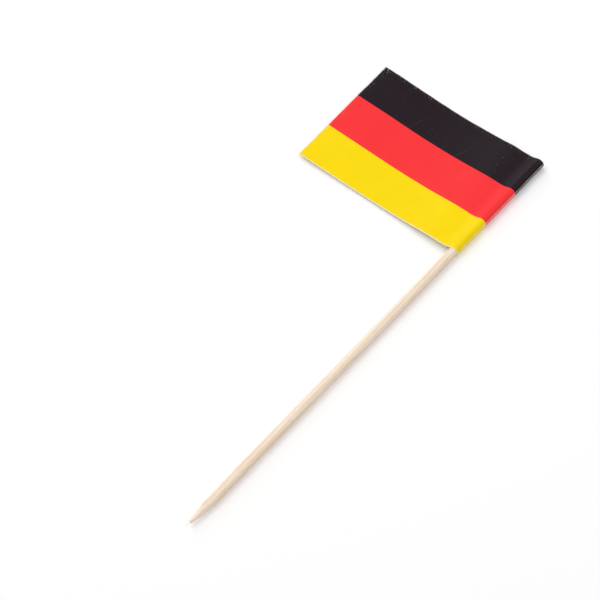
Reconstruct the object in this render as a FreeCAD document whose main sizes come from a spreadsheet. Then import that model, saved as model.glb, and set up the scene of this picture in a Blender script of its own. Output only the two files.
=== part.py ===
"""Flag pick: a round wooden pick with a printed paper flag folded and glued round its blunt end.

Millimetres. X runs along the pick from its point to its blunt end, Y from the pick to the free
edge of the flag, and Z is up. The pick lies on its side as it comes to rest: on the paper that
is wrapped round it and on the leaves of the flag, which sag to the same level. The origin is at
the middle of the footprint.
"""
import FreeCAD, Part
import math
import os
import Sketcher

# Driving dimensions: name, value, meaning
DRIVING = [
    ("pick_length", 150.0, "pick, from point to blunt end"),
    ("pick_diameter", 2.7, "pick, across the round shaft"),
    ("taper_length", 11.5, "pick, from point to where the full diameter starts"),
    ("tip_radius", 0.45, "pick, rounded point"),
    ("end_chamfer", 0.15, "pick, broken edge of the blunt end"),
    ("flag_hoist", 38.5, "flag, along the pick"),
    ("flag_fly", 54.5, "flag, from the outside of the wrap to the free edge"),
    ("flag_overhang", 0.2, "flag, past the blunt end of the pick"),
    ("paper_thickness", 0.12, "flag, one leaf"),
    ("glue_line", 0.03, "flag, between the two leaves"),
    ("wrap_clearance", 0.02, "flag, between the pick and the paper round it"),
    ("crease_radius", 6.0, "flag, outside of the upper leaf's hollow crease beside the pick"),
    ("leaf_rise", 0.25, "flag, middle of the leaves at the creases, above the pick's axis"),
    ("crown_radius", 60.0, "flag, where the leaves start level and bend down"),
    ("trough_radius", 140.0, "flag, where the leaves lie on the surface"),
    ("tail_radius", 450.0, "flag, where the leaves flatten out to the free edge"),
    ("tail_lift", 0.74, "flag, from the trough up to the top of the tail's arc"),
]

# Sizes that follow from those above: name, formula, meaning
DERIVED = [
    ("pick_radius", "pick_diameter / 2", "pick, shaft"),
    ("taper_drop", "pick_radius - tip_radius", "pick, from the shaft's radius down to the point's"),
    ("taper_run", "taper_length - tip_radius", "pick, from the middle of the point to the full diameter"),
    ("shoulder_radius", "0.45 * taper_run * taper_run / taper_drop", "pick, arc of most of the taper"),
    ("wrap_bore_radius", "pick_radius + wrap_clearance", "flag, inside of the wrap"),
    ("wrap_outer_radius", "wrap_bore_radius + paper_thickness", "flag, outside of the wrap"),
    ("slit_half", "glue_line / 2", "flag, from the middle to a leaf's inner face"),
    ("leaf_half", "slit_half + paper_thickness", "flag, from the middle to a leaf's outer face"),
    ("inner_crease_radius", "crease_radius + paper_thickness", "flag, crease on the inner face"),
    ("trough_drop", "wrap_outer_radius - leaf_half", "flag, middle of the trough, below the pick's axis"),
    ("sag", "trough_drop + leaf_rise", "flag, middle of the trough, below the leaves at the creases"),
    ("free_edge", "flag_fly - wrap_outer_radius", "flag, free edge from the pick's axis"),
    ("flag_top", "pick_length + flag_overhang", "flag, edge at the blunt end"),
    ("flag_bottom", "flag_top - flag_hoist", "flag, edge nearest the point"),
    ("middle_along", "flag_top / 2", "footprint's middle, along the pick"),
    ("middle_across", "(free_edge - wrap_outer_radius) / 2", "footprint's middle, across the pick"),
]

START = 1
END = 2
CENTRE = 3
ORIGIN = (-1, 1)
SKETCH_X_AXIS = -1
UP = FreeCAD.Vector(0, 0, 1)


def make_sheet(doc):
    """Spreadsheet with the driving dimensions first and the sizes worked out from them below."""
    sheet = doc.addObject("Spreadsheet::Sheet", "Sizes")
    rows = [(name, str(value), note) for name, value, note in DRIVING]
    rows += [(name, "=" + formula, note) for name, formula, note in DERIVED]
    for row, (name, content, note) in enumerate(rows, start=1):
        sheet.set("A%d" % row, name)
        sheet.set("B%d" % row, content)
        sheet.set("C%d" % row, note)
        sheet.setAlias("B%d" % row, name)
    doc.recompute()
    return sheet


def make_body(doc, label):
    """Empty body whose X axis is the pick's axis, set down in the middle of the footprint."""
    body = doc.addObject("PartDesign::Body", label.title().replace("_", ""))
    body.Label = label
    body.setExpression("Placement.Base.x", "-Sizes.middle_along")
    body.setExpression("Placement.Base.y", "-Sizes.middle_across")
    body.setExpression("Placement.Base.z", "Sizes.wrap_outer_radius")
    return body


def make_sketch(body, name, role):
    """Empty sketch on one of the body's own origin planes."""
    plane = next(item for item in body.Origin.OriginFeatures if item.Role == role)
    sketch = body.newObject("Sketcher::SketchObject", name)
    sketch.AttachmentSupport = [(plane, "")]
    sketch.MapMode = "FlatFace"
    return sketch


def bind(sketch, name, formula, kind, *geometry):
    """Adds a dimension to the sketch and binds it to the spreadsheet."""
    value = FreeCAD.Units.Quantity(sketch.evalExpression(formula)).Value
    index = sketch.addConstraint(Sketcher.Constraint(kind, *geometry, value))
    sketch.renameConstraint(index, name)
    sketch.setExpression("Constraints." + name, formula)


def add_arc(sketch, centre, radius, start, end):
    """Arc of the sketch, counter-clockwise from start to end, both in radians."""
    circle = Part.Circle(FreeCAD.Vector(centre[0], centre[1], 0), UP, radius)
    return sketch.addGeometry(Part.ArcOfCircle(circle, start, end))


def add_line(sketch, start, end):
    """Straight edge of the sketch."""
    first = FreeCAD.Vector(start[0], start[1], 0)
    last = FreeCAD.Vector(end[0], end[1], 0)
    return sketch.addGeometry(Part.LineSegment(first, last))


def join(sketch, *corners):
    """Makes each given pair of edge ends one point."""
    for corner in corners:
        sketch.addConstraint(Sketcher.Constraint("Coincident", *corner))


def blend(sketch, *corners):
    """Makes each given pair of edge ends one point, where the two edges run on smoothly."""
    for corner in corners:
        sketch.addConstraint(Sketcher.Constraint("Tangent", *corner))


def make_pick(doc, sheet):
    """Turned wooden pick: its half section, from the point to the blunt end, revolved once."""
    body = make_body(doc, "wooden_pick")
    sketch = make_sketch(body, "PickHalfSection", "XZ_Plane")
    radius = sheet.pick_radius
    length = sheet.pick_length
    # The straight stretch of the taper touches the arcs of the point and of the shoulder
    across = sheet.shoulder_radius - radius
    touching = math.acos((sheet.shoulder_radius - sheet.tip_radius) / math.hypot(sheet.taper_run, across))
    slope = math.atan2(sheet.taper_run, across) - touching
    steep = math.pi / 2 + slope
    tip_centre = (sheet.tip_radius, 0.0)
    shoulder_centre = (sheet.taper_length, radius - sheet.shoulder_radius)
    taper_start = (tip_centre[0] + sheet.tip_radius * math.cos(steep), sheet.tip_radius * math.sin(steep))
    taper_end = (
        shoulder_centre[0] + sheet.shoulder_radius * math.cos(steep),
        shoulder_centre[1] + sheet.shoulder_radius * math.sin(steep),
    )
    shaft_end = (length - sheet.end_chamfer, radius)
    rim = (length, radius - sheet.end_chamfer)

    tip = add_arc(sketch, tip_centre, sheet.tip_radius, steep, math.pi)
    taper = add_line(sketch, taper_start, taper_end)
    shoulder = add_arc(sketch, shoulder_centre, sheet.shoulder_radius, math.pi / 2, steep)
    shaft = add_line(sketch, (sheet.taper_length, radius), shaft_end)
    chamfer = add_line(sketch, shaft_end, rim)
    face = add_line(sketch, rim, (length, 0))
    axis = add_line(sketch, (length, 0), (0, 0))

    blend(sketch, (tip, START, taper, START), (taper, END, shoulder, END), (shoulder, START, shaft, START))
    join(sketch, (shaft, END, chamfer, START), (chamfer, END, face, START), (face, END, axis, START))
    join(sketch, (axis, END, tip, END), (axis, END, *ORIGIN))
    sketch.addConstraint([
        Sketcher.Constraint("PointOnObject", tip, CENTRE, SKETCH_X_AXIS),
        Sketcher.Constraint("Horizontal", shaft),
        Sketcher.Constraint("Vertical", face),
        Sketcher.Constraint("Horizontal", axis),
    ])
    bind(sketch, "tip_radius", "Sizes.tip_radius", "Radius", tip)
    bind(sketch, "shoulder_radius", "Sizes.shoulder_radius", "Radius", shoulder)
    bind(sketch, "pick_length", "Sizes.pick_length", "DistanceX", axis, END, axis, START)
    bind(sketch, "pick_radius", "Sizes.pick_radius", "DistanceY", axis, START, shaft, END)
    bind(sketch, "taper_length", "Sizes.taper_length", "DistanceX", axis, END, shaft, START)
    bind(sketch, "chamfer_along", "Sizes.end_chamfer", "DistanceX", shaft, END, face, START)
    bind(sketch, "chamfer_across", "Sizes.end_chamfer", "DistanceY", face, START, shaft, END)

    turned = body.newObject("PartDesign::Revolution", "TurnedPick")
    turned.Profile = sketch
    turned.ReferenceAxis = (sketch, ["H_Axis"])
    turned.Angle = 360
    return body


def make_flag_profile(body, sheet, name, half, wrap, crease):
    """Closed section round the pick and along the leaves, at one depth of the paper.

    half, wrap and crease name the depth's three sizes: from the middle of the leaves, round the
    pick, and in the two creases. Outer faces and inner faces of the paper are both drawn so.
    """
    sketch = make_sketch(body, name, "YZ_Plane")
    sketch.setExpression("AttachmentOffset.Base.z", "Sizes.flag_bottom")
    depth = getattr(sheet, half)
    wrap_radius = getattr(sheet, wrap)
    crease_radius = getattr(sheet, crease)
    crown_radius = sheet.crown_radius
    trough_radius = sheet.trough_radius
    tail_radius = sheet.tail_radius

    # Centres and turns of the arcs: the crown starts level, the trough touches down, the tail ends flat
    rise = sheet.leaf_rise
    crease_up = rise + depth + crease_radius
    crease_out = math.sqrt((wrap_radius + crease_radius) ** 2 - crease_up ** 2)
    crown_turn = math.acos(1 - sheet.sag / (crown_radius + trough_radius))
    tail_turn = math.acos(1 - sheet.tail_lift / (trough_radius + tail_radius))
    crown_centre = (crease_out, rise - crown_radius)
    trough_centre = (
        crease_out + (crown_radius + trough_radius) * math.sin(crown_turn),
        trough_radius - sheet.trough_drop,
    )
    tail_centre = (
        trough_centre[0] + (trough_radius + tail_radius) * math.sin(tail_turn),
        sheet.tail_lift - sheet.trough_drop - tail_radius,
    )
    level = math.pi / 2

    # The lower crease ends under the upper one, which settles its radius
    below = depth - rise
    lower_radius = (crease_out ** 2 + below ** 2 - wrap_radius ** 2) / (2 * (wrap_radius - below))
    creases = {1: (crease_radius, crease_up), -1: (lower_radius, -below - lower_radius)}
    opening = {side: math.atan2(side * up, crease_out) for side, (radius, up) in creases.items()}

    def leaf(side):
        """Crease, crown, trough and tail of the upper (side 1) or lower (side -1) face, and its end."""
        shift = side * depth
        reach = tail_radius + shift
        last = math.acos((sheet.free_edge - tail_centre[0]) / reach)
        radius, up = creases[side]
        crease_turn = sorted((side * (opening[side] - math.pi), -side * level))
        parts = [
            add_arc(sketch, (crease_out, up), radius, *crease_turn),
            add_arc(sketch, crown_centre, crown_radius + shift, level - crown_turn, level),
            add_arc(sketch, trough_centre, trough_radius - shift, -level - crown_turn, -level + tail_turn),
            add_arc(sketch, tail_centre, reach, last, level + tail_turn),
        ]
        return parts, (sheet.free_edge, tail_centre[1] + reach * math.sin(last))

    wrap_arc = add_arc(sketch, (0, 0), wrap_radius, opening[1], 2 * math.pi - opening[-1])
    (crease_1, crown_1, trough_1, tail_1), top_end = leaf(1)
    (crease_2, crown_2, trough_2, tail_2), low_end = leaf(-1)
    edge = add_line(sketch, top_end, low_end)

    blend(sketch, (wrap_arc, START, crease_1, START), (crease_1, END, crown_1, END))
    blend(sketch, (wrap_arc, END, crease_2, END), (crease_2, START, crown_2, END))
    blend(sketch, (crown_1, START, trough_1, START), (trough_1, END, tail_1, END))
    blend(sketch, (crown_2, START, trough_2, START), (trough_2, END, tail_2, END))
    join(sketch, (tail_1, START, edge, START), (edge, END, tail_2, START), (wrap_arc, CENTRE, *ORIGIN))
    join(sketch, (crown_1, CENTRE, crown_2, CENTRE), (trough_1, CENTRE, trough_2, CENTRE))
    join(sketch, (tail_1, CENTRE, tail_2, CENTRE))
    sketch.addConstraint([
        Sketcher.Constraint("Vertical", crease_1, CENTRE, crown_1, CENTRE),
        Sketcher.Constraint("Vertical", crease_2, CENTRE, crown_2, CENTRE),
        Sketcher.Constraint("Vertical", edge),
    ])
    bind(sketch, "wrap_radius", "Sizes." + wrap, "Radius", wrap_arc)
    bind(sketch, "crease_radius", "Sizes." + crease, "Radius", crease_1)
    bind(sketch, "crown_radius", "Sizes.crown_radius + Sizes." + half, "Radius", crown_1)
    bind(sketch, "crown_radius_below", "Sizes.crown_radius - Sizes." + half, "Radius", crown_2)
    bind(sketch, "trough_radius", "Sizes.trough_radius - Sizes." + half, "Radius", trough_1)
    bind(sketch, "tail_radius", "Sizes.tail_radius + Sizes." + half, "Radius", tail_1)
    crown_level = "Sizes.crown_radius - Sizes.leaf_rise"
    bind(sketch, "crown_level", crown_level, "DistanceY", crown_1, CENTRE, *ORIGIN)
    trough_level = "Sizes.trough_radius - Sizes.trough_drop"
    bind(sketch, "trough_level", trough_level, "DistanceY", *ORIGIN, trough_1, CENTRE)
    tail_level = "Sizes.tail_radius + Sizes.trough_drop - Sizes.tail_lift"
    bind(sketch, "tail_level", tail_level, "DistanceY", tail_1, CENTRE, *ORIGIN)
    bind(sketch, "free_edge", "Sizes.free_edge", "DistanceX", *ORIGIN, edge, START)
    return sketch


def make_flag(doc, sheet):
    """One strip of paper, folded round the pick, its two leaves lying on each other."""
    body = make_body(doc, "paper_flag")
    outer = make_flag_profile(
        body, sheet, "PaperOuterFaces", "leaf_half", "wrap_outer_radius", "crease_radius")
    folded = body.newObject("PartDesign::Pad", "FoldedFlag")
    folded.Profile = outer
    folded.Length = sheet.flag_hoist
    folded.setExpression("Length", "Sizes.flag_hoist")
    folded.Refine = False

    inner = make_flag_profile(
        body, sheet, "PaperInnerFaces", "slit_half", "wrap_bore_radius", "inner_crease_radius")
    hollow = body.newObject("PartDesign::Pocket", "WrapBoreAndGlueLine")
    hollow.Profile = inner
    hollow.Type = "ThroughAll"
    hollow.Reversed = True
    hollow.Refine = False
    return body


def check(doc, bodies):
    """Stops with a plain message where an object failed or a body isn't one sound solid."""
    for item in doc.Objects:
        if "Invalid" in item.State or "Error" in item.State:
            raise RuntimeError("%s failed: %s" % (item.Label, item.State))
    for body in bodies:
        shape = body.Shape
        if shape.isNull() or not shape.isValid() or len(shape.Solids) != 1:
            raise RuntimeError("%s is not one valid solid" % body.Label)
        box = shape.BoundBox
        print("%-12s %8.2f mm3  X %.3f %.3f  Y %.3f %.3f  Z %.3f %.3f" % (
            body.Label, shape.Volume, box.XMin, box.XMax, box.YMin, box.YMax, box.ZMin, box.ZMax))


def main():
    doc = FreeCAD.newDocument("FlagPick")
    sheet = make_sheet(doc)
    bodies = [make_pick(doc, sheet), make_flag(doc, sheet)]
    doc.recompute()
    check(doc, bodies)
    os.makedirs("parts", exist_ok=True)
    for body in bodies:
        body.Shape.exportStep("parts/%s.step" % body.Label)


main()
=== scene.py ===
import math

import bpy
import numpy as np
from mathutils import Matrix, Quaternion, Vector, noise


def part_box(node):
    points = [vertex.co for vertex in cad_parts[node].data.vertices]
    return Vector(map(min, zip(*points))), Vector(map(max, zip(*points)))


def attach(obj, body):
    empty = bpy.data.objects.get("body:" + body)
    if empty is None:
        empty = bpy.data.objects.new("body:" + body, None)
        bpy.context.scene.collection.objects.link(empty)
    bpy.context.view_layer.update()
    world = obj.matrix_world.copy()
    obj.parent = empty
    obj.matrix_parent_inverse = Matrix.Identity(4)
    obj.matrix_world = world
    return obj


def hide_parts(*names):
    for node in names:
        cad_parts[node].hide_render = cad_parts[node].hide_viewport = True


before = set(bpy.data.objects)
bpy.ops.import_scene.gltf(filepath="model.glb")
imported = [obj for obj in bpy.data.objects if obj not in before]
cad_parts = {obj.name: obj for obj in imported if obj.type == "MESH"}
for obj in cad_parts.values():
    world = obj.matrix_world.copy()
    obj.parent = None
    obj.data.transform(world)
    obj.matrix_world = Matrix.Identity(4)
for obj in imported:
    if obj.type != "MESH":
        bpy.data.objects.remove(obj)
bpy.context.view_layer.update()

MM = 0.001
BODY = "root"
LEVEL = math.pi / 2

# The photograph's view, as a camera far off with a long lens
VIEW_AZIMUTH = -51.76
VIEW_ELEVATION = 54.55
VIEW_ROLL = 0.417
VIEW_TARGET = Vector((-0.72, -3.02, 0.0)) * MM
VIEW_DISTANCE = 1603.7 * MM
VIEW_LENS = 360.0
SENSOR = 36.0
CLIP_START, CLIP_END = 0.05, 50.0

# Lamps: azimuth and elevation in degrees, side in metres, power in watts
LAMPS = {
    "key": (200.0, 66.0, 0.6, 3.15),
    "side": (150.0, 34.0, 0.7, 1.9),
    "fill": (46.0, 54.0, 0.4, 1.5),
}
LAMP_DISTANCE = 1.0
# The world's strength where it lights things, and where it is seen
WORLD_LIGHT = 0.50
WORLD_SEEN = 1.0
# The floor's colour, the glow added where it is seen, then its reach and its drop in millimetres
FLOOR_GREY = 0.93
FLOOR_LIFT = 0.12
FLOOR_REACH = 4000.0
FLOOR_DROP = 0.01

# The pick and the flag, as the frame gives them, in millimetres
PICK_LOW, PICK_HIGH = (Vector(corner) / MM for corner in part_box("wooden_pick"))
FLAG_LOW, FLAG_HIGH = (Vector(corner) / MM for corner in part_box("paper_flag"))
PICK_RADIUS = (PICK_HIGH.z - PICK_LOW.z) / 2
WRAP_RADIUS = (FLAG_HIGH.z - FLAG_LOW.z) / 2
AXIS_Y = FLAG_LOW.y + WRAP_RADIUS
AXIS_Z = FLAG_LOW.z + WRAP_RADIUS
HOIST = FLAG_HIGH.x - FLAG_LOW.x
FREE_EDGE = FLAG_HIGH.y - AXIS_Y

# The rest of their driving sizes, in millimetres. The shoulder's radius is SHOULDER_SHARE of the
# taper's run squared over its drop. At a half, its arc would take up the whole taper.
TAPER_LENGTH = 11.5
TIP_RADIUS = 0.45
SHOULDER_SHARE = 0.45
SHOULDER_RADIUS = SHOULDER_SHARE * (TAPER_LENGTH - TIP_RADIUS) ** 2 / (PICK_RADIUS - TIP_RADIUS)
END_CHAMFER = 0.15
PAPER = 0.12
GLUE_LINE = 0.03
CREASE_RADIUS = 6.0
LEAF_RISE = 0.25
CROWN_RADIUS = 60.0
TROUGH_RADIUS = 140.0
TAIL_RADIUS = 450.0
TAIL_LIFT = 0.74
LEAF_HALF = GLUE_LINE / 2 + PAPER
TROUGH_DROP = WRAP_RADIUS - LEAF_HALF
SAG = TROUGH_DROP + LEAF_RISE

# The print, measured from the edge of the flag at the blunt end, in millimetres. It is a little
# askew on the paper, by this share of the way from the fold.
BLACK_TO_RED = 12.83
RED_TO_YELLOW = 25.85
PRINT_SKEW = 0.005
PLATE_WAVER = 0.10
BORDER_BLUR = 0.03
INK_UNEVEN = 0.03
# Unprinted strip along the edge nearest the point, made wider as painted light for the lit cut edge
# there
MARGIN_AND_LIT_EDGE = 0.24
MARGIN_AND_LIT_EDGE_BLUR = 0.04
# The fold's crack, bare paper with a painted highlight along it, runs this far above the side of
# the wrap, as an angle round the pick
FOLD_ABOVE = math.radians(16.0)

# Painted shade: the wood is browner on its side away from the flag, where it lies in shade. How
# much that side leans towards the floor, and, in metres, where it starts, where it is full and how
# far its border wanders
SHADE_SIDE_LEAN = 0.35
SHADE_SIDE_START = 0.25 * MM
SHADE_SIDE_FULL = 1.2 * MM
SHADE_SIDE_WANDER = 1.6 * MM

# Grain of the wood: waves to the metre along and across the pick, detail and roughness. Streaks
# are about 0.4 mm wide, fibres about 0.13 mm, both some millimetres long. Pores are short lines.
GRAINS = {
    # Wander of the painted shade's border
    "shade_side": (30.0, 700.0, 3.0, 0.55),
    "streak": (75.0, 2400.0, 3.0, 0.6),
    "fibre": (190.0, 7600.0, 3.0, 0.65),
    "pore": (520.0, 6400.0, 1.0, 0.5),
}

# Textures of the paper: waves to the metre, detail and roughness
TEXTURES = {
    "plate": (900.0, 2.0, 0.5),
    "cloud": (170.0, 4.0, 0.6),
    "tooth": (3800.0, 2.0, 0.6),
    "patch": (240.0, 2.0, 0.5),
    "chip": (2600.0, 3.0, 0.65),
    "grit": (2300.0, 4.0, 0.75),
    "pinhole": (4200.0, 1.0, 0.5),
    "cockle": (210.0, 3.0, 0.55),
    "fibre": (5200.0, 3.0, 0.65),
    "stain": (700.0, 2.0, 0.5),
}

# Mean depth of each kind of relief in the wood and how far from the point it is torn, in
# millimetres. In all it takes off no more than LOSS_LIMIT of the radius.
GRAIN_DEPTH = 0.009
FLUTE_DEPTH = 0.014
TURNING_DEPTH = 0.006
TORN_DEPTH = 0.05
TORN_LENGTH = 1.6
END_DISH = 0.012
LOSS_LIMIT = 0.6

# Splinters torn from the wood: from the point, angle round the pick, length, width and depth
NICKS = [
    (23.0, 118.0, 2.6, 0.22, 0.06),
    (41.5, 52.0, 3.4, 0.20, 0.05),
    (57.0, 152.0, 2.0, 0.28, 0.06),
    (70.5, 95.0, 4.5, 0.16, 0.05),
    (88.0, 140.0, 2.4, 0.24, 0.05),
    (98.5, 250.0, 3.0, 0.26, 0.06),
    (35.0, 300.0, 3.6, 0.22, 0.06),
    (12.4, 84.0, 1.8, 0.20, 0.05),
    (64.0, 20.0, 3.0, 0.20, 0.06),
]

# Unevenness of the paper, in millimetres. Places are measured from the pick's axis. Slack grows
# towards the edge nearest the point by a power, and corners curl from a share of half the hoist.
LIFT_START, LIFT_FULL = 3.6, 10.0
SLACK, SLACK_PLACE, SLACK_SPREAD, SLACK_POWER = 0.42, 28.0, 15.0, 1.3
COCKLE, RIPPLE = 0.05, 0.02
RIDGE, RIDGE_PLACE, RIDGE_SPREAD = 0.02, 8.0, 5.0
CURL, CURL_REACH, CURL_START = 0.15, 14.0, 0.6
CUT_WAVER = 0.02
# The upper leaf was glued down a little askew, from this far out on, and a little short. The
# power keeps what is short to the free edge.
ASKEW, ASKEW_START = 0.10, 4.0
SHORT, SHORT_POWER = 0.08, 8

# Rings of points along the pick's tip, flank, shoulder, shaft, wrapped end and chamfer, and over
# its blunt end as shares of the rim
TIP_RINGS, FLANK_RINGS, SHOULDER_RINGS = 12, 70, 46
SHAFT_RINGS, WRAPPED_RINGS, CHAMFER_RINGS = 300, 50, 5
END_RINGS = (0.97, 0.8, 0.6, 0.4, 0.2)
FIRST_TURN = 0.12
ROUND_STEPS = 168
ANGLES = [math.tau * step / ROUND_STEPS for step in range(ROUND_STEPS)]

# Steps along each arc of the folded strip's section, and along the pick
TAIL_STEPS, TROUGH_STEPS, CROWN_STEPS, CREASE_STEPS, WRAP_STEPS = 40, 44, 28, 24, 64
HOIST_STEPS = 118
HOISTS = np.linspace(0.0, HOIST, HOIST_STEPS + 1)
SHARP_EDGE = math.radians(40.0)


def srgb(red, green, blue):
    """Linear colour with full alpha from the 0 to 255 values that a screen shows."""
    def linear(value):
        share = value / 255
        if share <= 0.04045:
            return share / 12.92
        return ((share + 0.055) / 1.055) ** 2.4
    return linear(red), linear(green), linear(blue), 1.0


WHITE = (1.0, 1.0, 1.0, 1.0)

BLACK_INK = srgb(28, 16, 24)
RED_INK = srgb(252, 54, 58)
YELLOW_INK = srgb(254, 221, 0)
# Bare paper where the ink is worn, also the colour of the painted highlight along the fold and the
# painted light at the edge nearest the point
BARE_AND_LIT_PAPER = srgb(240, 235, 229)
DULL_PAPER = srgb(240, 233, 219)
BRIGHT_PAPER = srgb(253, 250, 243)
STAINED_PAPER = srgb(226, 210, 184)

SPRING_WOOD = srgb(254, 238, 218)
SUMMER_WOOD = srgb(251, 228, 203)
RING_LINE = srgb(226, 190, 154)
# Painted shade: the brown of the pick's side away from the flag and towards the floor
PAINTED_SHADE_WOOD = srgb(238, 195, 154)
DARK_STREAK = srgb(236, 194, 152)
PALE_STREAK = srgb(255, 246, 231)
DARK_FIBRE = srgb(229, 188, 148)
PALE_FIBRE = srgb(255, 249, 238)
PORE = srgb(178, 130, 90)


def smooth_step(low, high, value):
    """0 below low, 1 above high and smooth between."""
    share = np.clip((value - low) / (high - low), 0.0, 1.0)
    return float(share * share * (3 - 2 * share))


# Node materials

class Graph:
    """A material's node tree, with one short call for each node."""

    def __init__(self, name):
        self.material = bpy.data.materials.new(name)
        self.material.use_nodes = True
        self.tree = self.material.node_tree
        self.shader = self.tree.nodes["Principled BSDF"]

    def node(self, kind, inputs=(), **settings):
        """Adds a node. inputs maps socket names or numbers to values or to other nodes' sockets."""
        made = self.tree.nodes.new(kind)
        for name, value in settings.items():
            setattr(made, name, value)
        self.feed(made, inputs)
        return made

    def feed(self, made, inputs):
        """Sets or links a node's sockets."""
        for name, value in dict(inputs).items():
            if isinstance(value, bpy.types.NodeSocket):
                self.tree.links.new(value, made.inputs[name])
            else:
                made.inputs[name].default_value = value

    def attribute(self, name):
        """A number kept on the mesh's points."""
        return self.node("ShaderNodeAttribute", attribute_name=name).outputs["Fac"]

    def place(self, scale=(1.0, 1.0, 1.0), turn=(0.0, 0.0, 0.0)):
        """Object coordinates, in metres, turned by angles in degrees and then stretched."""
        where = self.node("ShaderNodeTexCoord").outputs["Object"]
        angles = [math.radians(angle) for angle in turn]
        turned = self.node("ShaderNodeMapping", {"Vector": where, "Rotation": angles}).outputs[0]
        return self.node("ShaderNodeMapping", {"Vector": turned, "Scale": scale}).outputs[0]

    def noise(self, where, scale, detail, roughness):
        """Smooth noise from 0 to 1, with about scale waves to the unit of where."""
        inputs = {"Vector": where, "Scale": scale, "Detail": detail, "Roughness": roughness}
        return self.node("ShaderNodeTexNoise", inputs).outputs["Fac"]

    def texture(self, name, where):
        """One of the paper's textures, from 0 to 1."""
        return self.noise(where, *TEXTURES[name])

    def grain(self, name):
        """One kind of the wood's grain, from 0 to 1, drawn out along the pick."""
        along, across, detail, roughness = GRAINS[name]
        return self.noise(self.place((along, across, across)), 1.0, detail, roughness)

    def math(self, operation, first, second=0.0, third=0.0):
        """One sum of numbers."""
        made = self.node("ShaderNodeMath", {0: first, 1: second, 2: third}, operation=operation)
        return made.outputs[0]

    def weigh(self, *parts):
        """Sum of numbers, each given with its weight."""
        total = 0.0
        for value, weight in parts:
            total = self.math("MULTIPLY_ADD", value, weight, total)
        return total

    def largest(self, first, *others):
        """The largest of some numbers."""
        for other in others:
            first = self.math("MAXIMUM", first, other)
        return first

    def span(self, value, low, high, start=0.0, end=1.0):
        """value from low to high becomes start to end, and stays there outside."""
        inputs = {"Value": value, "From Min": low, "From Max": high, "To Min": start, "To Max": end}
        return self.node("ShaderNodeMapRange", inputs, clamp=True).outputs[0]

    def mix(self, share, first, second, blend="MIX"):
        """Mixes two colours."""
        made = self.node("ShaderNodeMix", data_type="RGBA", blend_type=blend)
        self.feed(made, {0: share, 6: first, 7: second})
        return made.outputs[2]

    def bump(self, height, strength, distance, normal=None):
        """Relief of a height from 0 to 1 over a distance in metres."""
        inputs = {"Height": height, "Strength": strength, "Distance": distance}
        if normal is not None:
            inputs["Normal"] = normal
        return self.node("ShaderNodeBump", inputs).outputs[0]


def painted_shade_depth(g):
    """Depth into the painted shade on the pick's side away from the flag and towards the floor, in
    metres, with an uneven border.
    """
    place = g.node("ShaderNodeSeparateXYZ", {0: g.place()}).outputs
    side = g.math("MULTIPLY_ADD", place["Z"], SHADE_SIDE_LEAN, place["Y"])
    depth = g.math("SUBTRACT", AXIS_Y * MM, side)
    wander = g.math("SUBTRACT", g.grain("shade_side"), 0.5)
    return g.math("MULTIPLY_ADD", wander, SHADE_SIDE_WANDER, depth)


def wood_material():
    """Bare birch: pale, with year rings cut along the grain, streaks, fibres and short pores."""
    g = Graph("birch_wood")
    # Year rings lie flat and a little askew, 0.8 mm apart, so they run out at the surface
    ring = g.node("ShaderNodeTexWave", {
        "Vector": g.place((12.0, 390.0, 390.0), (38.0, 0.5, 0.35)),
        "Scale": 1.0, "Distortion": 1.6, "Detail": 2.0,
        "Detail Scale": 1.4, "Detail Roughness": 0.6,
    }, wave_type="BANDS", bands_direction="Z", wave_profile="SAW").outputs["Fac"]
    shade_side = painted_shade_depth(g)
    streak, fibre, pore = (g.grain(name) for name in ("streak", "fibre", "pore"))

    # Each layer: the number that it follows, two values of it, the layer's share at each, its tint
    layers = [
        (ring, 0.72, 0.98, 0.0, 0.45, RING_LINE),
        # Painted shade, browner on the side away from the flag and towards the floor
        (shade_side, SHADE_SIDE_START, SHADE_SIDE_FULL, 0.0, 0.75, PAINTED_SHADE_WOOD),
        (streak, 0.54, 0.72, 0.0, 0.50, DARK_STREAK),
        (streak, 0.34, 0.46, 0.50, 0.0, PALE_STREAK),
        (fibre, 0.54, 0.72, 0.0, 0.50, DARK_FIBRE),
        (fibre, 0.30, 0.46, 0.45, 0.0, PALE_FIBRE),
        (pore, 0.68, 0.76, 0.0, 0.45, PORE),
    ]
    colour = g.mix(g.span(ring, 0.30, 1.0), SPRING_WOOD, SUMMER_WOOD)
    for value, low, high, start, end, tint in layers:
        colour = g.mix(g.span(value, low, high, start, end), colour, tint)

    g.feed(g.shader, {
        "Base Color": colour,
        "Roughness": g.span(fibre, 0.3, 0.7, 0.60, 0.80),
        "Normal": g.bump(g.weigh((fibre, 0.6), (streak, 0.4)), 0.7, 0.035 * MM),
        "Specular IOR Level": 0.28,
    })
    return g.material


def ink_colour(g, across, from_fold, where):
    """Three fields of ink, uneven as a plate leaves them, and the tooth of the paper under them."""
    plate = g.math("SUBTRACT", g.texture("plate", where), 0.5)
    waver = g.math("MULTIPLY", plate, PLATE_WAVER)
    at = g.math("ADD", across, g.math("MULTIPLY_ADD", from_fold, PRINT_SKEW, waver))
    ink = BLACK_INK
    for border, following in ((BLACK_TO_RED, RED_INK), (RED_TO_YELLOW, YELLOW_INK)):
        ink = g.mix(g.span(at, border - BORDER_BLUR, border + BORDER_BLUR), ink, following)
    tooth = g.texture("tooth", where)
    uneven = g.weigh((g.texture("cloud", where), 0.6), (tooth, 0.4))
    shade = g.span(uneven, 0.3, 0.7, 1 - INK_UNEVEN, 1 + INK_UNEVEN)
    grey = g.node("ShaderNodeCombineColor", {0: shade, 1: shade, 2: shade}).outputs[0]
    return g.mix(1.0, ink, grey, "MULTIPLY"), tooth


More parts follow.
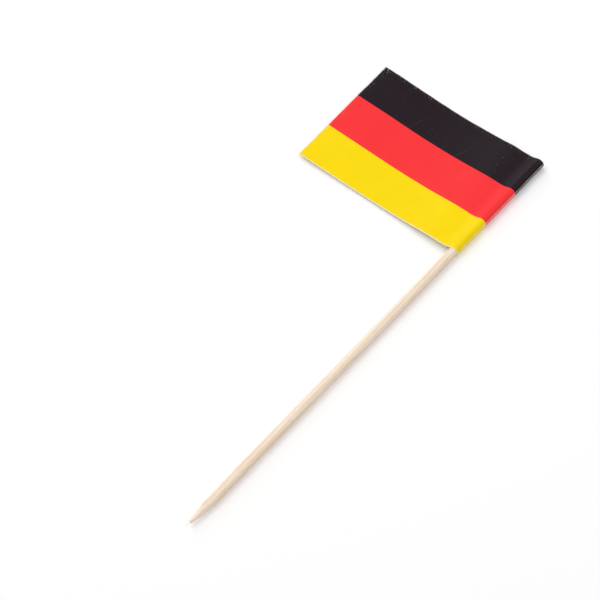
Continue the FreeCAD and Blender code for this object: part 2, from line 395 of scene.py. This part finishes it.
def worn_cuts_and_lit_edge(g, across, to_edge, chip, where):
    """Bare paper at the cuts, where the blade broke the ink, and in the unprinted strip, which is
    widened as painted light for the lit cut edge nearest the point.
    """
    patch = g.texture("patch", where)
    broken = g.span(chip, 0.30, 0.72, 0.12, 0.24)
    reach = g.math("MULTIPLY", broken, g.span(patch, 0.40, 0.58, 0.75, 1.0))
    share = g.span(g.math("SUBTRACT", reach, to_edge), -0.05, 0.05)
    cut = g.math("MULTIPLY", share, g.span(patch, 0.4, 0.6, 0.45, 0.8))
    to_point = g.math("SUBTRACT", HOIST, across)
    # Unprinted strip, partly painted light on the cut edge nearest the point
    margin_and_lit_edge = g.span(to_point, MARGIN_AND_LIT_EDGE - MARGIN_AND_LIT_EDGE_BLUR, MARGIN_AND_LIT_EDGE + MARGIN_AND_LIT_EDGE_BLUR, 0.9, 0.0)
    return g.math("MAXIMUM", cut, margin_and_lit_edge)


def fold_wear_and_highlight(g, from_fold, chip, grit):
    """Bare paper in the crack of the fold, with a painted highlight along it, down the far side of
    the pick.
    """
    out = g.math("ABSOLUTE", from_fold)
    crack_and_highlight = g.math("SUBTRACT", g.span(chip, 0.3, 0.7, 0.08, 0.20), out)
    return g.math("MULTIPLY", g.span(crack_and_highlight, -0.08, 0.08), g.span(grit, 0.40, 0.60, 0.22, 0.65))


def worn_corners(g, across, from_free, to_edge, grit):
    """Many tiny scuffs at the free corner of the blunt end, and fewer along the edges."""
    rub = g.span(g.math("ADD", from_free, across), 0.5, 7.0, 1.0, 0.0)
    border = g.span(to_edge, 0.2, 1.8, 0.55, 0.0)
    return g.math("MULTIPLY", g.span(grit, 0.60, 0.70), g.math("MAXIMUM", rub, border))


def worn_lines(g, where):
    """Fine straight scratches in two directions, and pinholes in the ink."""
    first = g.noise(g.place((40.0, 2600.0, 40.0), (0.0, 0.0, 17.0)), 1.0, 1.0, 0.5)
    second = g.noise(g.place((160.0, 3400.0, 160.0), (0.0, 0.0, -58.0)), 1.0, 1.0, 0.5)
    return g.largest(
        g.span(first, 0.72, 0.84, 0.0, 0.07),
        g.span(second, 0.76, 0.88, 0.0, 0.07),
        g.span(g.texture("pinhole", where), 0.74, 0.82, 0.0, 0.24),
    )


def wear_and_painted_light_share(g, across, from_fold, from_free, where):
    """How much bare paper shows through the print, with a painted highlight along the fold and
    painted light at the edge nearest the point.
    """
    to_edge = g.math("MINIMUM", across, g.math("SUBTRACT", HOIST, across))
    to_edge = g.math("MINIMUM", to_edge, from_free)
    chip, grit = g.texture("chip", where), g.texture("grit", where)
    return g.largest(
        worn_cuts_and_lit_edge(g, across, to_edge, chip, where),
        fold_wear_and_highlight(g, from_fold, chip, grit),
        worn_corners(g, across, from_free, to_edge, grit),
        worn_lines(g, where),
    )


def printed_material():
    """Printed face of the paper: satin ink over paper that is never quite flat."""
    g = Graph("printed_paper")
    where = g.place()
    across, from_fold = g.attribute("hoist_mm"), g.attribute("fold_mm")
    ink, tooth = ink_colour(g, across, from_fold, where)
    wear_and_light = wear_and_painted_light_share(g, across, from_fold, g.attribute("free_mm"), where)
    normal = g.bump(g.texture("cockle", where), 0.55, 0.14 * MM)
    normal = g.bump(g.weigh((tooth, 0.7), (wear_and_light, 0.6)), 0.4, 0.012 * MM, normal)
    satin = g.span(tooth, 0.3, 0.7, 0.33, 0.45)
    g.feed(g.shader, {
        # Bare paper from wear, and painted highlight and painted light along the fold and the edge
        # nearest the point
        "Base Color": g.mix(wear_and_light, ink, BARE_AND_LIT_PAPER),
        "Roughness": g.math("MULTIPLY_ADD", wear_and_light, 0.35, satin),
        "Normal": normal,
        "Specular IOR Level": 0.095,
    })
    return g.material


def core_material():
    """Unprinted paper, seen at the cut edges and between the leaves. A little ink soaked in."""
    g = Graph("bare_paper")
    where = g.place()
    fibre = g.texture("fibre", where)
    stain = g.span(g.texture("stain", where), 0.5, 0.8, 0.0, 0.3)
    colour = g.mix(g.span(fibre, 0.3, 0.75), DULL_PAPER, BRIGHT_PAPER)
    colour = g.mix(stain, colour, STAINED_PAPER)
    ink, _ = ink_colour(g, g.attribute("hoist_mm"), g.attribute("fold_mm"), where)
    g.feed(g.shader, {
        "Base Color": g.mix(0.22, colour, ink),
        "Roughness": 0.85,
        "Normal": g.bump(fibre, 0.6, 0.02 * MM),
        "Specular IOR Level": 0.25,
    })
    return g.material


def seen_share(tree):
    """1 for rays from the camera, from gloss and through glass, 0 for those that light things."""
    path = tree.nodes.new("ShaderNodeLightPath")
    share = path.outputs["Is Camera Ray"]
    for ray in ("Is Glossy Ray", "Is Transmission Ray"):
        either = tree.nodes.new("ShaderNodeMath")
        either.operation = "MAXIMUM"
        tree.links.new(share, either.inputs[0])
        tree.links.new(path.outputs[ray], either.inputs[1])
        share = either.outputs[0]
    return share


def floor_material():
    """Plain white surface that keeps the shadow. Seen or mirrored, it is a little lighter."""
    g = Graph("floor")
    g.tree.nodes.remove(g.shader)
    white = (FLOOR_GREY, FLOOR_GREY, FLOOR_GREY, 1.0)
    matt = g.node("ShaderNodeBsdfDiffuse", {"Color": white}).outputs[0]
    lift = g.math("MULTIPLY", seen_share(g.tree), FLOOR_LIFT)
    glow = g.node("ShaderNodeEmission", {"Color": WHITE, "Strength": lift}).outputs[0]
    both = g.node("ShaderNodeAddShader", {0: matt, 1: glow}).outputs[0]
    g.feed(g.tree.nodes["Material Output"], {"Surface": both})
    return g.material


# Meshes

def make_object(name, points, faces):
    """Smooth mesh object from points in millimetres."""
    mesh = bpy.data.meshes.new(name)
    mesh.from_pydata((np.asarray(points) * MM).tolist(), [], faces)
    mesh.polygons.foreach_set("use_smooth", [True] * len(mesh.polygons))
    mesh.update()
    made = bpy.data.objects.new(name, mesh)
    bpy.context.scene.collection.objects.link(made)
    return made


def add_numbers(made, name, values):
    """Keeps one number for each point of the mesh, for its material to read."""
    layer = made.data.attributes.new(name, "FLOAT", "POINT")
    layer.data.foreach_set("value", np.asarray(values, dtype=np.float32))


def pick_profile():
    """Stations along the pick from its point, each with the radius there, in millimetres."""
    length = PICK_HIGH.x - PICK_LOW.x
    # The taper's straight line touches both the tip's arc and the shoulder's
    gap_along = TAPER_LENGTH - TIP_RADIUS
    gap_across = SHOULDER_RADIUS - PICK_RADIUS
    reach = math.hypot(gap_along, gap_across)
    turned = math.acos((SHOULDER_RADIUS - TIP_RADIUS) / reach)
    slope = math.atan2(gap_along, gap_across) - turned
    tip_end = TIP_RADIUS * (1 - math.sin(slope))
    shoulder_start = TAPER_LENGTH - SHOULDER_RADIUS * math.sin(slope)
    tip_turns = np.linspace(FIRST_TURN, LEVEL - slope, TIP_RINGS)
    stations = [TIP_RADIUS * (1 - math.cos(turn)) for turn in tip_turns]
    stretches = [
        (tip_end, shoulder_start, FLANK_RINGS),
        (shoulder_start, TAPER_LENGTH, SHOULDER_RINGS),
        (TAPER_LENGTH, length - HOIST, SHAFT_RINGS),
        (length - HOIST, length - END_CHAMFER, WRAPPED_RINGS),
        (length - END_CHAMFER, length, CHAMFER_RINGS),
    ]
    for start, end, rings in stretches:
        stations += list(np.linspace(start, end, rings)[1:])

    def radius(station):
        if station < tip_end:
            return math.sqrt(max(TIP_RADIUS ** 2 - (TIP_RADIUS - station) ** 2, 0.0))
        if station < shoulder_start:
            return TIP_RADIUS * math.cos(slope) + (station - tip_end) * math.tan(slope)
        if station < TAPER_LENGTH:
            fall = math.sqrt(SHOULDER_RADIUS ** 2 - (TAPER_LENGTH - station) ** 2)
            return PICK_RADIUS - SHOULDER_RADIUS + fall
        return min(PICK_RADIUS, PICK_RADIUS - END_CHAMFER + length - station)

    return stations, [radius(station) for station in stations]


def taper_loss(station, angle, around):
    """Faint rings from the sharpening, and fibres torn at the point, in millimetres."""
    # Here and below, the factors are waves to the millimetre and what is added shifts the noise
    ring = noise.noise(Vector((station * 3.2, math.cos(angle) * 0.5, math.sin(angle) * 0.5)))
    rough = noise.noise(Vector((station * 1.2 + 9.0, around.x * 7.0, around.y * 7.0)))
    torn = max(0.0, 1 - station / TORN_LENGTH)
    return TURNING_DEPTH * (1 + ring) + torn * TORN_DEPTH * (1 + rough)


def wood_loss(station, angle, radius):
    """How far the wood's surface lies inside the turned form, in millimetres."""
    around = Vector((math.cos(angle), math.sin(angle), 0.0)) * radius
    grain = noise.noise(Vector((station * 0.12, around.x * 6.5, around.y * 6.5)))
    flute = noise.noise(Vector((station * 0.02 + 40.0, around.x * 1.1, around.y * 1.1)))
    loss = GRAIN_DEPTH * (1 + grain) + FLUTE_DEPTH * (1 + flute)
    if station < TAPER_LENGTH + 1:
        loss += taper_loss(station, angle, around)
    for at, degrees, long, wide, deep in NICKS:
        if abs(station - at) < long:
            turn = math.remainder(angle - math.radians(degrees), math.tau) * radius
            loss += deep * math.exp(-((station - at) / long * 2) ** 2 - (turn / wide * 2) ** 2)
    return min(loss, radius * LOSS_LIMIT)


def end_dish(angle, out):
    """How far the sawn blunt end lies inside the pick's length, in millimetres."""
    across, up = out * math.cos(angle), out * math.sin(angle)
    return END_DISH * (1 + noise.noise(Vector((across * 3.0, up * 3.0, 5.0))))


def pick_rings():
    """The pick's surface, ring by ring from its point, as (x, radius) at each angle."""
    stations, radii = pick_profile()
    rings = [
        [(PICK_LOW.x + station, radius - wood_loss(station, angle, radius)) for angle in ANGLES]
        for station, radius in zip(stations, radii)
    ]
    # Over the blunt end the rings shrink to its middle
    for share in END_RINGS:
        out = radii[-1] * share
        rings.append([(PICK_HIGH.x - end_dish(angle, out), out) for angle in ANGLES])
    return rings


def make_pick():
    """The turned pick, its surface lowered by grain, flutes and nicks, never raised."""
    rings = pick_rings()
    points = [(PICK_LOW.x, AXIS_Y, AXIS_Z)]
    for ring in rings:
        points += [
            (along, AXIS_Y + out * math.cos(angle), AXIS_Z + out * math.sin(angle))
            for angle, (along, out) in zip(ANGLES, ring)
        ]
    centre = len(points)
    points.append((PICK_HIGH.x - END_DISH, AXIS_Y, AXIS_Z))

    sides = [(step, (step + 1) % ROUND_STEPS) for step in range(ROUND_STEPS)]
    faces = [(0, 1 + after, 1 + step) for step, after in sides]
    for number in range(len(rings) - 1):
        here = 1 + number * ROUND_STEPS
        there = here + ROUND_STEPS
        faces += [(here + step, here + after, there + after, there + step) for step, after in sides]
    last = centre - ROUND_STEPS
    faces += [(last + step, last + after, centre) for step, after in sides]

    pick = make_object("birch_pick", points, faces)
    pick.data.materials.append(wood_material())
    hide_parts("wooden_pick")
    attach(pick, BODY)


def strip_section(inset):
    """One face of the folded strip, as points (across, up) from the pick's axis, in millimetres.

    It runs from the lower leaf's free edge round the pick to the upper leaf's. inset is the
    face's depth below the printed side.
    """
    depth = LEAF_HALF - inset
    wrap_radius = WRAP_RADIUS - inset
    upper_up = LEAF_RISE + LEAF_HALF + CREASE_RADIUS
    crease_out = math.sqrt((WRAP_RADIUS + CREASE_RADIUS) ** 2 - upper_up ** 2)
    # The lower crease ends under the upper one, which settles its radius
    below = LEAF_HALF - LEAF_RISE
    lower_radius = (crease_out ** 2 + below ** 2 - WRAP_RADIUS ** 2) / (2 * (WRAP_RADIUS - below))
    creases = {1: (CREASE_RADIUS, upper_up), -1: (lower_radius, -below - lower_radius)}
    opening = {side: math.atan2(abs(up), crease_out) for side, (radius, up) in creases.items()}
    crown_turn = math.acos(1 - SAG / (CROWN_RADIUS + TROUGH_RADIUS))
    tail_turn = math.acos(1 - TAIL_LIFT / (TROUGH_RADIUS + TAIL_RADIUS))
    trough_out = crease_out + (CROWN_RADIUS + TROUGH_RADIUS) * math.sin(crown_turn)
    tail_out = trough_out + (TROUGH_RADIUS + TAIL_RADIUS) * math.sin(tail_turn)
    tail_up = TAIL_LIFT - TROUGH_DROP - TAIL_RADIUS

    def arc(out, up, radius, start, end, steps):
        """Points along an arc, its last one left out."""
        turns = np.linspace(start, end, steps + 1)[:-1]
        return [(out + radius * math.cos(turn), up + radius * math.sin(turn)) for turn in turns]

    def leaf(side):
        """From the wrap to the free edge of the upper (side 1) or lower (side -1) leaf."""
        radius, up = creases[side]
        reach = TAIL_RADIUS + side * depth
        end = math.acos((FREE_EDGE - tail_out) / reach)
        path = arc(crease_out, up, radius + inset,
                   side * (opening[side] - math.pi), -side * LEVEL, CREASE_STEPS)
        path += arc(crease_out, LEAF_RISE - CROWN_RADIUS, CROWN_RADIUS + side * depth,
                    LEVEL, LEVEL - crown_turn, CROWN_STEPS)
        path += arc(trough_out, TROUGH_RADIUS - TROUGH_DROP, TROUGH_RADIUS - side * depth,
                    -LEVEL - crown_turn, -LEVEL + tail_turn, TROUGH_STEPS)
        path += arc(tail_out, tail_up, reach, LEVEL + tail_turn, end, TAIL_STEPS)
        path.append((FREE_EDGE, tail_up + reach * math.sin(end)))
        return path

    wrap = arc(0.0, 0.0, wrap_radius, -opening[-1], opening[1] - math.tau, WRAP_STEPS)
    return np.array(leaf(-1)[::-1][:-1] + wrap + leaf(1))


def leaf_lift(hoist, across):
    """What slack, cockles, glue ridges and curled corners add to both leaves, in millimetres."""
    share = hoist / HOIST
    cockle = noise.noise(Vector((hoist * 0.07, across * 0.055, 3.0)))
    ripple = noise.noise(Vector((hoist * 0.21 + 11.0, across * 0.16, 8.0)))
    ridge = noise.noise(Vector((hoist * 0.05, across * 0.55, 21.0)))
    bulge = math.exp(-((across - SLACK_PLACE) / SLACK_SPREAD) ** 2)
    slack = SLACK * share ** SLACK_POWER * bulge
    near = math.exp(-((across - RIDGE_PLACE) / RIDGE_SPREAD) ** 2)
    uneven = COCKLE * (1 + cockle) + RIPPLE * (1 + ripple) + RIDGE * near * (1 + ridge)
    corner = max(0.0, abs(share - 0.5) * 2 - CURL_START) / (1 - CURL_START)
    curl = CURL * corner ** 2 * smooth_step(FREE_EDGE - CURL_REACH, FREE_EDGE, across) ** 2
    return smooth_step(LIFT_START, LIFT_FULL, across) * (slack + uneven) + curl


def cut_waver(place, seed):
    """Small wander of a cut edge, from 0 inwards, in millimetres."""
    return CUT_WAVER * (1 + noise.noise(Vector((place * 0.8, 4.0, seed))))


def flag_points(sections, middle, strip):
    """Points of the strip's outer and inner face, in rows along the pick."""
    out_share = np.clip((middle[:, 0] - ASKEW_START) / (FREE_EDGE - ASKEW_START), 0, None)
    share = np.where(strip > strip[-1] / 2, out_share, 0.0)
    points = []
    for section in sections:
        for place, (out, up) in enumerate(section):
            end_share = share[place] ** SHORT_POWER
            for hoist in HOISTS:
                inward = 0.0
                if hoist == 0.0:
                    inward = cut_waver(strip[place], 1.0)
                elif hoist == HOIST:
                    inward = -cut_waver(strip[place], 2.0)
                points.append((
                    FLAG_HIGH.x - hoist - inward - ASKEW * share[place] * (hoist < HOIST),
                    AXIS_Y + out - (SHORT + cut_waver(hoist, 5.0)) * end_share,
                    AXIS_Z + up + (leaf_lift(hoist, middle[place, 0]) if out > 0 else 0.0),
                ))
    return points


def flag_faces(count):
    """Faces over both sides of the strip and its four cuts. Each is printed (0) or bare (1)."""
    row = HOIST_STEPS + 1
    sheet = count * row
    faces, materials = [], []

    def quad(corners, material, flip=False):
        faces.append(corners[::-1] if flip else corners)
        materials.append(material)

    for place in range(count - 1):
        for step in range(HOIST_STEPS):
            a = place * row + step
            b = sheet + a
            quad((a, a + row, a + row + 1, a + 1), 0)
            quad((b, b + 1, b + row + 1, b + row), 1)
        for step, flip in ((0, True), (HOIST_STEPS, False)):
            a = place * row + step
            quad((a, a + row, sheet + a + row, sheet + a), 1, flip)
    for place, flip in ((0, False), (count - 1, True)):
        for step in range(HOIST_STEPS):
            a = place * row + step
            quad((a, a + 1, sheet + a + 1, sheet + a), 1, flip)
    return faces, materials


def make_flag():
    """The folded strip: two faces a paper's thickness apart, closed by its four cut edges."""
    sections = [strip_section(0.0), strip_section(PAPER)]
    middle = (sections[0] + sections[1]) / 2
    count = len(middle)
    lengths = np.linalg.norm(np.diff(middle, axis=0), axis=1)
    strip = np.concatenate([[0.0], np.cumsum(lengths)])
    turns = np.degrees(np.arctan2(middle[:, 1], middle[:, 0])) % 360
    fold_at = strip[np.argmin(np.abs(turns - 180 + math.degrees(FOLD_ABOVE)))]

    faces, materials = flag_faces(count)
    flag = make_object("tricolour_flag", flag_points(sections, middle, strip), faces)
    flag.data.materials.append(printed_material())
    flag.data.materials.append(core_material())
    flag.data.polygons.foreach_set("material_index", materials)
    flag.data.set_sharp_from_angle(angle=SHARP_EDGE)
    # Millimetres along the pick, from the fold and from the nearer free edge
    row = len(HOISTS)
    from_free = np.minimum(strip, strip[-1] - strip)
    add_numbers(flag, "hoist_mm", np.tile(HOISTS, 2 * count))
    add_numbers(flag, "fold_mm", np.tile(np.repeat(strip - fold_at, row), 2))
    add_numbers(flag, "free_mm", np.tile(np.repeat(from_free, row), 2))
    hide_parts("paper_flag")
    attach(flag, BODY)


# Stage

def make_stage():
    """White floor under the object."""
    signs = ((-1, -1), (1, -1), (1, 1), (-1, 1))
    corners = [(x * FLOOR_REACH, y * FLOOR_REACH, -FLOOR_DROP) for x, y in signs]
    floor = make_object("floor", corners, [(0, 1, 2, 3)])
    floor.data.materials.append(floor_material())


def aim(made, towards, distance, azimuth, elevation, roll=0.0):
    """Puts an object at a distance from a point and turns its -Z axis to the point."""
    turn, rise = math.radians(azimuth), math.radians(elevation)
    back = Vector((
        math.sin(turn) * math.cos(rise), -math.cos(turn) * math.cos(rise), math.sin(rise)))
    made.location = Vector(towards) + back * distance
    made.rotation_mode = "QUATERNION"
    level = (-back).to_track_quat("-Z", "Y")
    made.rotation_quaternion = level @ Quaternion((0.0, 0.0, 1.0), math.radians(roll))


def make_lamp(name, azimuth, elevation, size, power):
    """Square soft box, turned to the object."""
    light = bpy.data.lights.new(name, "AREA")
    light.shape = "SQUARE"
    light.size = size
    light.energy = power
    lamp = bpy.data.objects.new(name, light)
    bpy.context.scene.collection.objects.link(lamp)
    aim(lamp, (0.0, 0.0, 0.0), LAMP_DISTANCE, azimuth, elevation)


def make_world():
    """Even pale light all round. Seen or mirrored, it is white."""
    world = bpy.data.worlds.new("studio")
    world.use_nodes = True
    tree = world.node_tree
    level = tree.nodes.new("ShaderNodeMapRange")
    level.inputs["To Min"].default_value = WORLD_LIGHT
    level.inputs["To Max"].default_value = WORLD_SEEN
    tree.links.new(seen_share(tree), level.inputs["Value"])
    background = tree.nodes["Background"]
    background.inputs["Color"].default_value = WHITE
    tree.links.new(level.outputs[0], background.inputs["Strength"])
    bpy.context.scene.world = world


def make_camera():
    """Camera at the photograph's viewing angle."""
    data = bpy.data.cameras.new("camera")
    data.lens = VIEW_LENS
    data.sensor_width = SENSOR
    data.clip_start = CLIP_START
    data.clip_end = CLIP_END
    camera = bpy.data.objects.new("camera", data)
    bpy.context.scene.collection.objects.link(camera)
    aim(camera, VIEW_TARGET, VIEW_DISTANCE, VIEW_AZIMUTH, VIEW_ELEVATION, VIEW_ROLL)
    bpy.context.scene.camera = camera


make_camera()
make_world()
make_stage()
for lamp_name, lamp_values in LAMPS.items():
    make_lamp(lamp_name, *lamp_values)
make_pick()
make_flag()
bpy.context.scene.view_settings.view_transform = "Standard"
